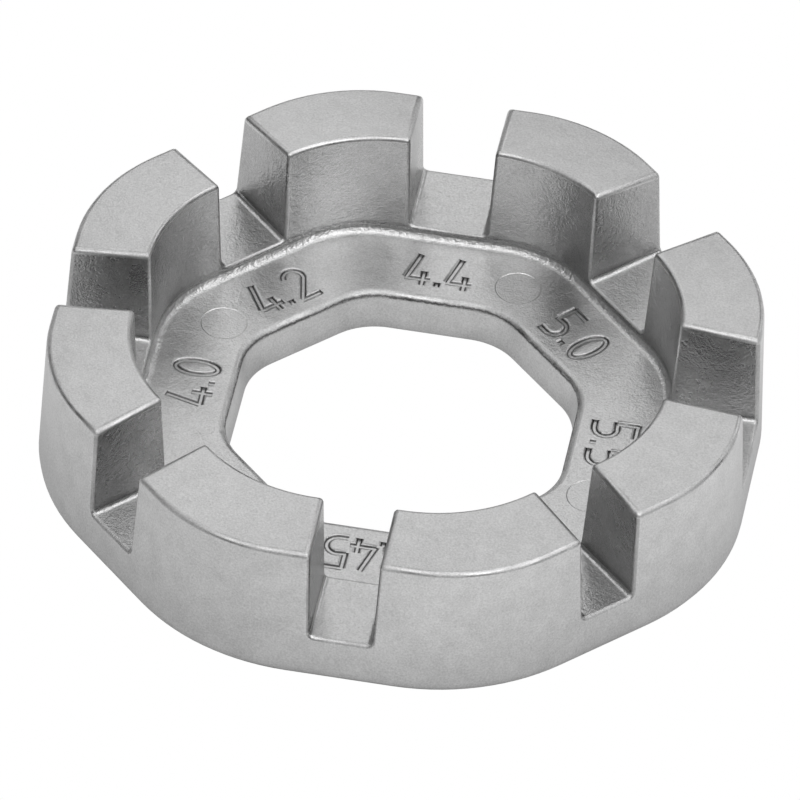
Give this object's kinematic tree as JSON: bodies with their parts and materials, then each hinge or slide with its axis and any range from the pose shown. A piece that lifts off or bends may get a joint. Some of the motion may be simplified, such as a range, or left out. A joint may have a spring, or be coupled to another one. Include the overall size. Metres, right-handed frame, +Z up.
{
  "type": "spoke wrench",
  "caption": "One-piece die-cast ring wrench: lugs stand on an octagonal web and the open slots between them each fit one size of spoke nipple.",
  "frame": {"origin": "centre of the flat base, on the surface that the wrench lies on", "axes": "+Z up through the hole, -Y towards the 3.45 mm slot, +X towards the 5.5 mm slot"},
  "size_m": [0.0388, 0.0388, 0.0092],
  "materials": {
    "cast_metal": null
  },
  "bodies": {
    "root": {"wrench_body": "cast_metal"}
  },
  "joints": []
}
